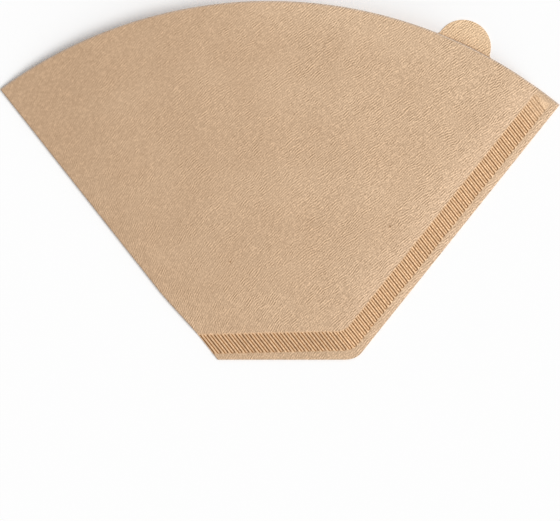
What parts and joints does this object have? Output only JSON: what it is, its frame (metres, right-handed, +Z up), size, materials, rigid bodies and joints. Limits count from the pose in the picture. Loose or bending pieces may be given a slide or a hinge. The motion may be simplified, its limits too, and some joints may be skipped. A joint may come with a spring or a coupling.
{
  "type": "paper coffee filter",
  "caption": "Cone-shaped crepe paper coffee filter, folded on one side, crimped on the side and bottom, open at the arched mouth, with a round pull tab.",
  "frame": {"origin": "middle of the underside's bounding rectangle, in the plane that the lower ply lies in", "axes": "+Y towards the mouth, +X from the fold to the crimped seam, +Z up from the lower ply to the bowed upper ply"},
  "size_m": [0.1656, 0.1061, 0.0066],
  "materials": {
    "crepe_paper": "matte crepe"
  },
  "bodies": {
    "root": {"folded_filter": "crepe_paper"}
  },
  "joints": []
}
